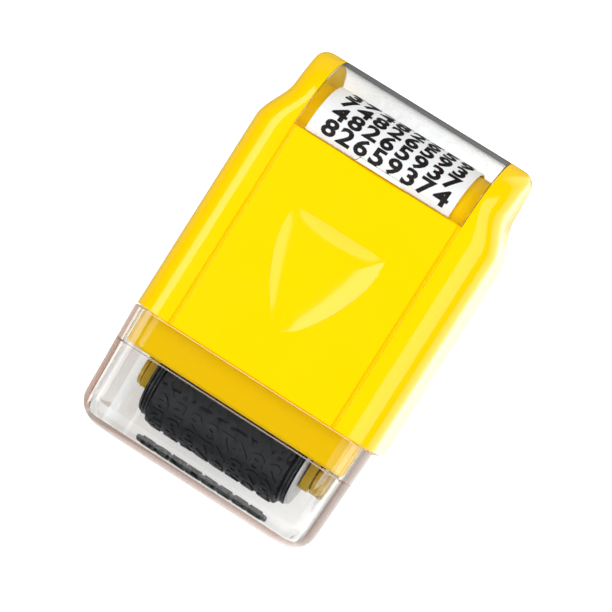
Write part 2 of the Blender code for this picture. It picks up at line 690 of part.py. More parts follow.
def main():
    clear_objects()
    yellow = make_material("yellow_abs", (1.0, 0.72, 0.0), 0.28)
    clear = make_material("clear_styrene", (0.95, 0.97, 0.98), 0.06, alpha=0.3)
    paper = make_material("label_paper", (0.93, 0.93, 0.92), 0.6)
    rubber = make_material("black_rubber", (0.02, 0.02, 0.025), 0.55)
    grey = make_material("grey_acetal", (0.62, 0.64, 0.66), 0.4)
    dark = make_material("dark_acetal", (0.05, 0.05, 0.055), 0.45)
    foam = make_material("inked_foam", (0.015, 0.015, 0.02), 0.9)
    steel = make_material("axle_steel", (0.55, 0.56, 0.58), 0.3, 1.0)

    finish_front(make_shell("front_shell", 1, yellow))
    finish_rear(make_shell("rear_shell", -1, yellow))
    make_cap(clear)
    make_window(clear)
    make_label(paper)
    make_frame(yellow)
    make_printing_roller(rubber, dark, grey, steel)
    make_bushes(grey)
    make_ink_roller(foam, grey, steel)
    make_ink_bearings(grey)
    make_springs(steel)


main()
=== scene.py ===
"""Looks of the roller stamp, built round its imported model.

Run as a script. The stamp lies on its back, +Y runs towards the window end and +Z is up.
"""

import bisect
import math

import bpy
from bpy.props import FloatProperty, FloatVectorProperty, IntProperty, PointerProperty
from mathutils import Matrix, Vector


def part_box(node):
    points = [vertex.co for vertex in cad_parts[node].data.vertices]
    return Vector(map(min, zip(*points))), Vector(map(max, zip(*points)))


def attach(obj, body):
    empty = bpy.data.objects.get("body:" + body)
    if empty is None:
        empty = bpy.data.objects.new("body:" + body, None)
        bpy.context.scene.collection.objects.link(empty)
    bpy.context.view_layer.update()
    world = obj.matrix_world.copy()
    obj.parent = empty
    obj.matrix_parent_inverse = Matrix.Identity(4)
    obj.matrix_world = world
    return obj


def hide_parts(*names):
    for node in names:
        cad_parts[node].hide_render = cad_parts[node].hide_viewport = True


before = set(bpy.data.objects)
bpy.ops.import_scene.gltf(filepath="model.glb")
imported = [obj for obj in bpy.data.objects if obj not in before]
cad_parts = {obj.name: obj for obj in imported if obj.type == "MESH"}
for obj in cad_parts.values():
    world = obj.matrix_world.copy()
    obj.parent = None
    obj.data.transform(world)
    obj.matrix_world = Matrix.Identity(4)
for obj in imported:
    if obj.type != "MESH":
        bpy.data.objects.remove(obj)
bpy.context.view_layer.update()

bl_info = {
    "name": "Roller Stamp",
    "version": (1, 0, 0),
    "blender": (4, 5, 0),
    "location": "View3D > Sidebar > Stamp",
    "description": "Builds the looks of a capped roller stamp piece by piece",
    "category": "Object",
}

MM = 0.001

FRONT_LOW, FRONT_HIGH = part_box("front_shell")
REAR_LOW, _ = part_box("rear_shell")
CAP_LOW, CAP_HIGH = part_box("cap")
DIE_LOW, DIE_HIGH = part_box("print_die")
LABEL_LOW, LABEL_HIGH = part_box("pattern_label")
WINDOW_LOW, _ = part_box("label_window")
MID_Z = (FRONT_HIGH.z + REAR_LOW.z) / 2
AXIS_Y = (DIE_LOW.y + DIE_HIGH.y) / 2

# Steps along each curve, and the cells of the thumb recess along each side
EDGE_STEPS = 14
NECK_STEPS = 10
HOLLOW_STEPS = 8
SHOULDER_STEPS = 4
NOSE_STEPS = 56
WINDOW_STEPS = 48
BED_STEPS = 36
LABEL_STEPS = 60
CAP_END_STEPS = 12
NAIL_STEPS = 16
THUMB_SIDE_STEPS = 5
THUMB_CELLS = 110
ROLLER_STEPS = 360
TEXT_STEPS = 3

# In degrees: edges sharper than the first are rounded, the shells' creases show from the second
SHARP_ANGLE = 35
SHELL_CREASE = 14

# Small sizes, and the least share of its depth that the thumb recess's dish has
MERGE_DISTANCE = 0.001 * MM
NECK_CHAMFER = 0.4 * MM
STOP_GAP = 0.3 * MM
LEDGE_SLOPE = 0.15 * MM
NOTCH_SLOPE = 0.4 * MM
RUBBER_THICKNESS = 2.0 * MM
MARK_ROOT = 0.1 * MM
THUMB_MARGIN = 2 * MM
THUMB_RISE = 3 * MM
LEAST_SHARE = 0.12

# The printed and raised numbers: eight to a row, and a capital is this share of its text size
NUMBERS = "83649275"
COLUMNS = 8
CAPITAL_SHARE = 0.73

# Half of the thumb recess, from its tip to its top edge: shares of its half width and of its length
THUMB_SIDE = (
    (0.0, 0.0), (0.25, 0.075), (0.47, 0.195), (0.68, 0.345), (0.85, 0.51), (0.97, 0.68), (1.02, 0.84),
    (1.0, 1.0),
)

# Each softbox: turn about the stamp and tilt from upright in degrees, then its width and length and its
# shift along the stamp in metres, and its brightness
SOFTBOXES = (
    ("left_softbox", 0, -33.5, (0.22, 0.8), 0.2, 3.6),
    ("right_softbox", 0, 37, (0.44, 0.8), 0.2, 2.3),
    ("end_softbox", -90, 38, (0.34, 0.4), 0.0, 2.0),
)
SOFTBOX_DISTANCE = 0.45

# Bands of the floor painted black for mirrored views only, painted dark reflections with no card there: axis,
# begin and end in mm, share painted black at each
PAINTED_DARK_REFLECTIONS = (
    ("Y", 22, 28, 0.0, 0.88),
    ("X", 20, 23, 1.0, 0.0),
    ("Y", -36, -32, 0.4, 0.0),
    ("X", 18, 22, 0.0, 0.6),
    ("X", -28, -22, 0.78, 0.0),
)

CAMERA_AIM = (1.59 * MM, -1.1 * MM)
SENSOR_WIDTH = 36.0
CLIP_START = 0.01
FLOOR_SIZE = 6.0
FLOOR_DROP = 0.05 * MM
STUDIO_LIGHT = 0.03

DARK_ROUGHNESS = 0.42
GREY_ROUGHNESS = 0.38


def linear(code):
    """Linear colour for an sRGB hex code."""
    shares = [int(code[place:place + 2], 16) / 255 for place in (0, 2, 4)]
    return tuple(s / 12.92 if s <= 0.04045 else ((s + 0.055) / 1.055) ** 2.4 for s in shares)


def length(name, default, description):
    return FloatProperty(name=name, description=description, default=default, unit="LENGTH", precision=5)


def number(name, default, description):
    return FloatProperty(name=name, description=description, default=default)


def colour(name, code, description):
    return FloatVectorProperty(
        name=name, description=description, default=linear(code), subtype="COLOR", min=0.0, max=1.0)


# Settings

class HousingSettings(bpy.types.PropertyGroup):
    rail_radius: length("Rail radius", 5.0 * MM, "Rounding along the sides of the body")
    shoulder_depth: length("Shoulder depth", 2.5 * MM, "How far each side draws in towards the window")
    shoulder_start: length("Shoulder start", 15.7 * MM, "Where the sides start to draw in, from the tip")
    shoulder_run: length("Shoulder run", 8.0 * MM, "Length over which the sides draw in")
    nose_run: length("Nose run", 14.8 * MM, "Length of the rounded end")
    nose_flat: length("Nose flat", 1.6 * MM, "Height of the blunt tip")
    nose_corner: length("Tip corner", 1.9 * MM, "Rounding of the arms' tips in plan")
    arm_thickness: length("Arm thickness", 4.35 * MM, "Width of each arm beside the window")
    window_length: length("Window length", 13.75 * MM, "Length of the recess for the window")
    bed_height: length("Bed height", 10.15 * MM, "Half the depth of the rounded bed under the label")
    bed_run: length("Bed run", 8.6 * MM, "Length over which the bed rounds off")
    bed_lead: length("Bed lead", 0.6 * MM, "Flat part of the bed before it rounds off")
    collar: length("Collar", FRONT_HIGH.y - 51.7 * MM, "Place of the step that the cap meets")
    wall: length("Wall", 2.0 * MM, "Thickness of the shells")
    neck_side: length("Neck side", 20.45 * MM, "Half the width of the neck")
    neck_height: length("Neck height", 10.7 * MM, "Half the depth of the neck")
    neck_radius: length("Neck radius", 3.2 * MM, "Rounding of the neck's corners")
    neck_wall: length("Neck wall", 1.5 * MM, "Thickness of the neck's wall")
    groove_width: length("Groove width", 0.8 * MM, "Width of the two long grooves")
    groove_depth: length("Groove depth", 0.45 * MM, "Depth of the two long grooves")
    thumb_width: length("Recess width", 17.4 * MM, "Width of the thumb recess")
    thumb_length: length("Recess length", 18.8 * MM, "Length of the thumb recess")
    thumb_depth: length("Recess depth", 1.0 * MM, "Depth of the thumb recess")
    thumb_slope: length("Recess slope", 1.5 * MM, "Run in which the walls of the recess flatten out")
    thumb_lead: length("Recess lead", 10.9 * MM, "From the window to the top edge of the thumb recess")
    nail_width: length("Nail notch width", 12.6 * MM, "Width of the nail notch at the window")
    nail_reach: length("Nail notch reach", 0.25 * MM, "How far the nail notch reaches into the panel")
    nail_depth: length("Nail notch depth", 1.0 * MM, "Depth of the nail notch")
    seam: length("Seam", 0.06 * MM, "Half the gap between the two shells")
    edge: length("Edge", 0.2 * MM, "Rounding of the moulded edges")
    plastic: colour("Plastic", "F7C900", "Colour of the yellow plastic")
    # Partly painted shade: the yellow plastic darkened to a dull olive as if in shadow, partly ink stain
    frame_plastic_shaded_stained: colour("Frame plastic", "C8A53C", "Dull olive of the frame that carries the rollers")


class CapSettings(bpy.types.PropertyGroup):
    wall: length("Wall", 1.5 * MM, "Thickness of the cap")
    ledge: length("Ledge", 0.35 * MM, "Step inside the cap where the neck stops")
    taper: length("Taper", 0.8 * MM, "How far the cap draws in towards its end, on each side")
    rail: length("Rail", 4.2 * MM, "Rounding along the cap's four long edges")
    inner_rail: length("Inner rail", 1.1 * MM, "Rounding along the long edges inside")
    corner: length("Corner", 4.4 * MM, "Rounding of the end in plan")
    end_inset: length("End inset", 0.45 * MM, "How far the blind end stays inside its space")
    end_edge: length("End edge", 5.0 * MM, "Rounding of the end in depth")
    inner_corner: length("Inner corner", 1.2 * MM, "Rounding of the end inside, in plan")
    inner_edge: length("Inner edge", 0.3 * MM, "Rounding of the end inside, in depth")
    edge: length("Edge", 0.15 * MM, "Rounding of the rim")
    clear: colour("Plastic", "F6FCFF", "Tint of the clear cap")
    shade: colour("Shade", "FBFBFA", "What each face lets through of a lamp's light")
    depth_tint: colour("Depth tint", "BD8359", "Colour where light goes a long way through it")
    density: number("Density", 66.0, "Strength of the depth tint")
    turns: number("Turns", 3.0, "Most turns of a view in the walls")


class WindowSettings(bpy.types.PropertyGroup):
    wall: length("Wall", 0.85 * MM, "Thickness of the window")
    side_gap: length("Side gap", 0.15 * MM, "Gap between the window and each arm")
    edge: length("Edge", 0.12 * MM, "Rounding of the window's edges")
    notch_width: length("Notch width", 8.6 * MM, "Width of the nail notch in the window's edge")
    notch_reach: length("Notch reach", 0.7 * MM, "How far the nail notch reaches into the window")
    clear: colour("Plastic", "FBFCFD", "Tint of the clear window")
    shade: colour("Shade", "FFFFFF", "What each face lets through of a lamp's light")
    depth_tint: colour("Depth tint", "8A9098", "Colour where light goes a long way through it")
    density: number("Density", 50.0, "Strength of the depth tint")
    turns: number("Turns", 12.0, "Most turns of a view in the walls")


class LabelSettings(bpy.types.PropertyGroup):
    digit_height: length("Digit height", 3.0 * MM, "Height of one printed number")
    spread: number("Spread", 1.33, "How much wider each number is drawn")
    rows: IntProperty(name="Rows", description="Rows of numbers on the label", default=10, min=1)
    row_pitch: length("Row pitch", 3.15 * MM, "Distance from row to row")
    column_pitch: length("Column pitch", 3.05 * MM, "Distance from number to number")
    print_lead: length("Print lead", 2.25 * MM, "From the label's edge to the middle of the first row")
    print_shift: length("Print shift", -0.2 * MM, "Shift of the print across")
    stroke: length("Stroke", 0.12 * MM, "How far each stroke is thickened")
    ink_lift: length("Ink lift", 0.045 * MM, "How far the print stands off the paper")
    paper: colour("Paper", "F2F3F4", "Colour of the paper")
    ink: colour("Ink", "140D0B", "Colour of the printed numbers")


class RollerSettings(bpy.types.PropertyGroup):
    mark_height: length("Mark height", 0.25 * MM, "How far the numbers stand out of the rubber")
    edge: length("Edge", 0.25 * MM, "Rounding of the roller's ends")
    segments: IntProperty(name="Segments", description="Faces round each roller", default=128, min=24)
    rubber: colour("Rubber", "121418", "Colour of the printing rubber")
    dark: colour("Dark acetal", "1F2124", "Colour of the drum and its end rings")
    grey: colour("Grey acetal", "C3C6CA", "Colour of the right hub, ink roller's core and blocks")


class StageSettings(bpy.types.PropertyGroup):
    distance: length("Distance", 480.0 * MM, "Distance from the camera to the front face")
    lean_x: number("Lean across", 0.1567, "Camera's lean to the right")
    lean_y: number("Lean along", 0.01, "Camera's lean to the window end")
    roll: FloatProperty(
        name="Roll", description="Turn of the picture", default=math.radians(32.259), subtype="ANGLE")
    lens: number("Lens", 176.2, "Focal length in millimetres")
    floor: colour("Floor", "F2F2F0", "Colour of the floor")


# Modelling helpers

def start(name, add, **settings):
    """Adds a primitive by itself and opens it for editing."""
    bpy.ops.object.select_all(action="DESELECT")
    add(**settings)
    piece = bpy.context.object
    piece.name = piece.data.name = name
    bpy.ops.object.mode_set(mode="EDIT")
    return piece


def close():
    """Merges doubles, turns all faces outwards and leaves edit mode."""
    bpy.ops.mesh.select_all(action="SELECT")
    bpy.ops.mesh.remove_doubles(threshold=MERGE_DISTANCE)
    bpy.ops.mesh.normals_make_consistent()
    bpy.ops.object.mode_set(mode="OBJECT")


def activate(piece):
    """Selects a piece alone."""
    bpy.ops.object.select_all(action="DESELECT")
    piece.select_set(True)
    bpy.context.view_layer.objects.active = piece


def trace(name, points):
    """Draws a closed outline by extruding a point from place to place, and fills it."""
    points = [Vector(point) for point in points]
    piece = start(name, bpy.ops.mesh.primitive_plane_add, size=MM, location=points[0])
    bpy.ops.mesh.merge(type="CENTER")
    for here, there in zip(points, points[1:]):
        bpy.ops.mesh.extrude_region_move(TRANSFORM_OT_translate={"value": there - here})
    bpy.ops.mesh.select_all(action="SELECT")
    bpy.ops.mesh.edge_face_add()
    return piece


def block_out(name, points, offset):
    """Traces an outline and pulls it out into a closed solid."""
    piece = trace(name, points)
    bpy.ops.mesh.extrude_region_move(TRANSFORM_OT_translate={"value": offset})
    close()
    return piece


def loft(name, stations, radius, segments):
    """Pulls a rounded oblong along the part, resizing it at each (y, width, height)."""
    y, width, height = stations[0]
    piece = start(
        name, bpy.ops.mesh.primitive_plane_add, size=1.0, location=(0, y, MID_Z),
        rotation=(math.pi / 2, 0, 0))
    bpy.ops.transform.resize(value=(width, 1.0, height), center_override=(0, y, MID_Z))
    bpy.ops.mesh.bevel(offset=radius, segments=segments, affect="VERTICES")
    bpy.ops.mesh.select_all(action="SELECT")
    for after in stations[1:]:
        bpy.ops.mesh.extrude_region_move(TRANSFORM_OT_translate={"value": (0, after[0] - y, 0)})
        bpy.ops.transform.resize(
            value=(after[1] / width, 1.0, after[2] / height), center_override=(0, after[0], MID_Z))
        y, width, height = after
    close()
    return piece


def turn(name, profile, y, segments):
    """Spins a closed profile of (x, radius) about an axis across the part."""
    piece = trace(name, [(x, y, MID_Z + radius) for x, radius in profile])
    bpy.ops.mesh.spin(steps=segments, angle=math.tau, center=(0, y, MID_Z), axis=(1, 0, 0))
    close()
    return piece


def finish_modifier(piece, kind, **settings):
    """Adds a modifier with its settings and applies it."""
    activate(piece)
    modifier = piece.modifiers.new(kind.title(), kind)
    for key, value in settings.items():
        setattr(modifier, key, value)
    bpy.ops.object.modifier_apply(modifier=modifier.name)


def carve(piece, tool, operation="DIFFERENCE"):
    """Cuts a tool out of a piece or adds it."""
    finish_modifier(piece, "BOOLEAN", object=tool, operation=operation, solver="EXACT")
    bpy.data.objects.remove(tool)


def soften(piece, width, crease=SHARP_ANGLE):
    """Rounds the sharp edges and shades those flatter than a crease in degrees smooth."""
    finish_modifier(
        piece, "BEVEL", width=width, segments=2, limit_method="ANGLE",
        angle_limit=math.radians(SHARP_ANGLE), use_clamp_overlap=True, miter_outer="MITER_ARC")
    activate(piece)
    bpy.ops.object.shade_smooth_by_angle(angle=math.radians(crease))
    finish_modifier(piece, "WEIGHTED_NORMAL", keep_sharp=True)


def place(piece, body, slot, material, *nodes):
    """Settles a finished piece: its place in its mesh, its material, body and CAD nodes; its slot is not
    used.
    """
    activate(piece)
    bpy.ops.object.transform_apply()
    piece.data.materials.clear()
    piece.data.materials.append(material)
    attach(piece, body)
    if nodes:
        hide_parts(*nodes)


def dress(material, *nodes):
    """Gives CAD nodes that stay a finished material."""
    for node in nodes:
        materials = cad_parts[node].data.materials
        if materials:
            materials[0] = material
        else:
            materials.append(material)


def arc(radius_a, radius_b, steps):
    """Points of a quarter of an ellipse, from (radius_a, 0) to (0, radius_b)."""
    angles = [math.pi / 2 * step / steps for step in range(steps + 1)]
    return [(radius_a * math.cos(a), radius_b * math.sin(a)) for a in angles]


# Materials

def new_material(name):
    """A new material with its shader, or the one of that name with none."""
    found = bpy.data.materials.get(name)
    if found:
        return found, None
    material = bpy.data.materials.new(name)
    material.use_nodes = True
    return material, material.node_tree.nodes["Principled BSDF"]


def set_inputs(material, node, inputs):
    """Fills a node's inputs; each takes a value, an output, or a node for its first output."""
    for key, value in inputs.items():
        if isinstance(value, bpy.types.Node):
            value = value.outputs[0]
        if isinstance(value, bpy.types.NodeSocket):
            material.node_tree.links.new(value, node.inputs[key])
        else:
            node.inputs[key].default_value = value


def add_node(material, kind, inputs, **settings):
    """Adds a node with its settings and its inputs."""
    node = material.node_tree.nodes.new(kind)
    for key, value in settings.items():
        setattr(node, key, value)
    set_inputs(material, node, inputs)
    return node


def moulded_abs(name, plastic):
    """Glossy injection-moulded ABS: even colour, a sharp sheen and the faintest orange peel."""
    material, shader = new_material(name)
    if shader:
        spot = add_node(material, "ShaderNodeTexCoord", {}).outputs["Object"]
        # The flow of the melt leaves swells about 9 mm apart that only the gloss shows
        swell = add_node(material, "ShaderNodeTexNoise", {
            "Vector": spot, "Scale": 1 / (9 * MM), "Detail": 1.0})
        gloss = add_node(material, "ShaderNodeMapRange", {
            "Value": swell, "From Min": 0.3, "From Max": 0.7, "To Min": 0.09, "To Max": 0.15})
        # Peel of the polished tool, about 0.6 mm from crest to crest
        peel = add_node(material, "ShaderNodeTexNoise", {
            "Vector": spot, "Scale": 1 / (0.6 * MM), "Detail": 2.0})
        bump = add_node(material, "ShaderNodeBump", {
            "Height": peel, "Strength": 0.05, "Distance": 0.02 * MM})
        set_inputs(material, shader, {
            "Base Color": (*plastic, 1.0), "Roughness": gloss, "Normal": bump, "IOR": 1.45})
    return material


def clear_styrene(name, piece):
    """Clear polystyrene: lamps reach what is behind it, and only a long way through it shows its tint."""
    material, shader = new_material(name)
    if shader:
        set_inputs(material, shader, {
            "Base Color": (*piece.clear, 1.0), "Roughness": 0.0, "IOR": 1.59, "Transmission Weight": 1.0})
        # Lamps and soft light pass straight through, and so does a view that has turned often in the walls
        rays = add_node(material, "ShaderNodeLightPath", {}).outputs
        turned = add_node(
            material, "ShaderNodeMath", {0: rays["Ray Depth"], 1: piece.turns}, operation="GREATER_THAN")
        lit = add_node(
            material, "ShaderNodeMath", {0: rays["Is Shadow Ray"], 1: rays["Is Diffuse Ray"]},
            operation="MAXIMUM")
        straight = add_node(material, "ShaderNodeMath", {0: lit, 1: turned}, operation="MAXIMUM")
        veil = add_node(material, "ShaderNodeBsdfTransparent", {"Color": (*piece.shade, 1.0)})
        mix = add_node(material, "ShaderNodeMixShader", {"Fac": straight, 1: shader, 2: veil})
        body = add_node(material, "ShaderNodeVolumeAbsorption", {
            "Color": (*piece.depth_tint, 1.0), "Density": piece.density})
        output = material.node_tree.nodes["Material Output"]
        set_inputs(material, output, {"Surface": mix, "Volume": body})
    return material


def label_paper(context):
    """Coated label paper: matt white with a fibre that is drawn 0.4 mm long, coarser than real."""
    material, shader = new_material("coated_paper_white")
    if shader:
        spot = add_node(material, "ShaderNodeTexCoord", {}).outputs["Object"]
        fibre = add_node(material, "ShaderNodeTexNoise", {
            "Vector": spot, "Scale": 1 / (0.4 * MM), "Detail": 4.0})
        bump = add_node(material, "ShaderNodeBump", {
            "Height": fibre, "Strength": 0.15, "Distance": 0.02 * MM})
        set_inputs(material, shader, {
            "Base Color": (*context.scene.stamp_label.paper, 1.0), "Roughness": 0.55, "Normal": bump})
    return material


def printed_ink(context):
    """Printed black ink: a little warm, half matt, its film uneven over about 0.5 mm."""
    material, shader = new_material("printed_ink_black")
    if shader:
        spot = add_node(material, "ShaderNodeTexCoord", {}).outputs["Object"]
        film = add_node(material, "ShaderNodeTexNoise", {
            "Vector": spot, "Scale": 1 / (0.5 * MM), "Detail": 3.0})
        gloss = add_node(material, "ShaderNodeMapRange", {"Value": film, "To Min": 0.35, "To Max": 0.6})
        set_inputs(material, shader, {
            "Base Color": (*context.scene.stamp_label.ink, 1.0), "Roughness": gloss,
            "Specular IOR Level": 0.2})
    return material


def moulded_rubber(context):
    """Moulded rubber: near black with a soft sheen, and a faint bloom of dried ink in patches of 3 mm."""
    material, shader = new_material("moulded_rubber_black")
    if shader:
        roller = context.scene.stamp_roller
        spot = add_node(material, "ShaderNodeTexCoord", {}).outputs["Object"]
        bloom = add_node(material, "ShaderNodeTexNoise", {
            "Vector": spot, "Scale": 1 / (3 * MM), "Detail": 5.0})
        tint = add_node(material, "ShaderNodeMix", {
            "Factor": bloom, 6: (*roller.rubber, 1.0), 7: (*linear("1B1D21"), 1.0)}, data_type="RGBA")
        gloss = add_node(material, "ShaderNodeMapRange", {"Value": bloom, "To Min": 0.4, "To Max": 0.62})
        set_inputs(material, shader, {
            "Base Color": tint.outputs[2], "Roughness": gloss, "Specular IOR Level": 0.3})
    return material


def acetal(name, tint, roughness):
    """Acetal: a waxy sheen with a grain of about 0.8 mm."""
    material, shader = new_material(name)
    if shader:
        spot = add_node(material, "ShaderNodeTexCoord", {}).outputs["Object"]
        grain = add_node(material, "ShaderNodeTexNoise", {
            "Vector": spot, "Scale": 1 / (0.8 * MM), "Detail": 3.0})
        gloss = add_node(material, "ShaderNodeMapRange", {
            "Value": grain, "To Min": roughness - 0.08, "To Max": roughness + 0.08})
        bump = add_node(material, "ShaderNodeBump", {
            "Height": grain, "Strength": 0.08, "Distance": 0.02 * MM})
        set_inputs(material, shader, {
            "Base Color": (*tint, 1.0), "Roughness": gloss, "Normal": bump, "IOR": 1.48})
    return material


def drawn_steel():
    """Drawn steel: bright, with fine lines that run along the axles."""
    material, shader = new_material("drawn_steel")
    if shader:
        spot = add_node(material, "ShaderNodeTexCoord", {}).outputs["Object"]
        stretched = add_node(material, "ShaderNodeMapping", {"Vector": spot, "Scale": (0.05, 1.0, 1.0)})
        lines = add_node(material, "ShaderNodeTexNoise", {
            "Vector": stretched, "Scale": 1 / (0.15 * MM), "Detail": 2.0})
        gloss = add_node(material, "ShaderNodeMapRange", {"Value": lines, "To Min": 0.22, "To Max": 0.4})
        set_inputs(material, shader, {
            "Base Color": (*linear("C4C6C8"), 1.0), "Metallic": 1.0, "Roughness": gloss})
    return material


def inked_foam():
    """Open-cell foam soaked with black ink: cells about 0.5 mm, wet glints."""
    material, shader = new_material("inked_foam_black")
    if shader:
        spot = add_node(material, "ShaderNodeTexCoord", {}).outputs["Object"]
        cells = add_node(material, "ShaderNodeTexVoronoi", {"Vector": spot, "Scale": 1 / (0.5 * MM)})
        bump = add_node(material, "ShaderNodeBump", {"Height": cells, "Strength": 0.6, "Distance": 0.15 * MM})
        set_inputs(material, shader, {
            "Base Color": (*linear("121216"), 1.0), "Roughness": 0.5, "Normal": bump})
    return material


def studio_paper_painted_glow(context):
    """White background paper that glows though it is no lamp: painted light from its emission, stronger to
    the right of the stamp and fading out 0.1 to 0.2 m from the floor's middle.
    """
    material, shader = new_material("studio_paper_painted_glow")
    if shader:
        spot = add_node(material, "ShaderNodeTexCoord", {}).outputs["Object"]
        across = add_node(material, "ShaderNodeSeparateXYZ", {"Vector": spot}).outputs
        # Painted glow, rising from the left of the stamp to its right
        glow = add_node(material, "ShaderNodeMapRange", {
            "Value": across["X"], "From Min": -26 * MM, "From Max": 26 * MM, "To Min": 0.35, "To Max": 0.85})
        # Painted pool of glow that fades out between 0.1 and 0.2 m from the floor's middle
        away = add_node(material, "ShaderNodeVectorMath", {0: spot}, operation="LENGTH")
        pool = add_node(material, "ShaderNodeMapRange", {
            "Value": away.outputs["Value"], "From Min": 0.1, "From Max": 0.2, "To Min": 1.0, "To Max": 0.0})
        shine = add_node(material, "ShaderNodeMath", {0: glow, 1: pool}, operation="MULTIPLY")
        set_inputs(material, shader, {
            "Base Color": (*context.scene.stamp_stage.floor, 1.0), "Roughness": 0.9,
            "Specular IOR Level": 0.1, "Emission Color": (1.0, 1.0, 1.0, 1.0), "Emission Strength": shine})
        paint_dark_reflections(material, shader, across)
    return material


def paint_dark_reflections(material, shader, across):
    """Paints the floor black in bands round the stamp, for mirrored views only: painted dark reflections
    where no card stands.

    With them the rails and the arms keep full yellow edges, and the clear walls show as thin lines.
    """
    past_window, beside_window, past_cap, right_of_cap, left = [
        add_node(material, "ShaderNodeMapRange", {
            "Value": across[axis], "From Min": begin * MM, "From Max": end * MM,
            "To Min": first, "To Max": last})
        for axis, begin, end, first, last in PAINTED_DARK_REFLECTIONS]
    rays = add_node(material, "ShaderNodeLightPath", {}).outputs
    mirrored = add_node(
        material, "ShaderNodeMath", {0: rays["Glossy Depth"], 1: 0.5}, operation="GREATER_THAN")
    inside = add_node(
        material, "ShaderNodeMath", {0: rays["Transmission Depth"], 1: 0.5}, operation="GREATER_THAN")
    outside = add_node(material, "ShaderNodeMath", {0: 1.0, 1: inside}, operation="SUBTRACT")
    at_window = add_node(material, "ShaderNodeMath", {0: past_window, 1: beside_window}, operation="MULTIPLY")
    by_cap = add_node(material, "ShaderNodeMath", {0: past_cap, 1: right_of_cap}, operation="MAXIMUM")
    at_cap = add_node(material, "ShaderNodeMath", {0: inside, 1: by_cap}, operation="MULTIPLY")
    at_left = add_node(material, "ShaderNodeMath", {0: outside, 1: left}, operation="MULTIPLY")
    sides = add_node(material, "ShaderNodeMath", {0: at_cap, 1: at_left}, operation="MAXIMUM")
    painted_dark = add_node(material, "ShaderNodeMath", {0: sides, 1: at_window}, operation="MAXIMUM")
    # Painted dark reflection: within the bands the floor turns black to mirrored views
    unlit = add_node(material, "ShaderNodeMath", {0: mirrored, 1: painted_dark}, operation="MULTIPLY")
    black = add_node(material, "ShaderNodeEmission", {"Color": (0.0, 0.0, 0.0, 1.0), "Strength": 0.0})
    mix = add_node(material, "ShaderNodeMixShader", {"Fac": unlit, 1: shader, 2: black})
    set_inputs(material, material.node_tree.nodes["Material Output"], {"Surface": mix})


# Shapes shared by the housing and the window

def ease(value):
    """Runs gently from 0 to 1 while the value does."""
    value = min(max(value, 0.0), 1.0)
    return value * value * (3 - 2 * value)


def body_width(house, y):
    """Width of the body, drawn in at the shoulders and rounded at the tips of the arms."""
    tip = FRONT_HIGH.y
    full = FRONT_HIGH.x - FRONT_LOW.x
    width = full - 2 * house.shoulder_depth * ease((y - (tip - house.shoulder_start)) / house.shoulder_run)
    past = max(y - (tip - house.nose_corner), 0.0)
    return width - 2 * (house.nose_corner - math.sqrt(max(house.nose_corner ** 2 - past ** 2, 0.0)))


def nose_curve(house, inset, first_y, steps):
    """Points (y, height) down the rounded end, from the panel to the blunt tip."""
    height = MID_Z - inset
    run = house.nose_run - inset
    centre = FRONT_HIGH.y - house.nose_run
    first = math.asin(max(first_y - centre, 0.0) / run)
    last = math.acos(house.nose_flat / 2 / height)
    angles = [first + (last - first) * step / steps for step in range(steps + 1)]
    return [(centre + run * math.sin(a) / math.sin(last), height * math.cos(a)) for a in angles]


def recess_half_width(house):
    """Half the width between the arms."""
    return body_width(house, FRONT_HIGH.y - house.nose_corner) / 2 - house.arm_thickness


def smooth_outline(points, steps):
    """Runs a smooth curve through points that stand for one side of a shape."""
    result = []
    count = len(points)
    for index in range(count - 1):
        before = points[max(index - 1, 0)]
        here, there = points[index], points[index + 1]
        after = points[min(index + 2, count - 1)]
        for step in range(steps):
            t = step / steps
            result.append(tuple(
                0.5 * (2 * b + (c - a) * t + (2 * a - 5 * b + 4 * c - d) * t * t
                       + (3 * b - a - 3 * c + d) * t ** 3)
                for a, b, c, d in zip(before, here, there, after)))
    return result + [points[-1]]


# Pieces

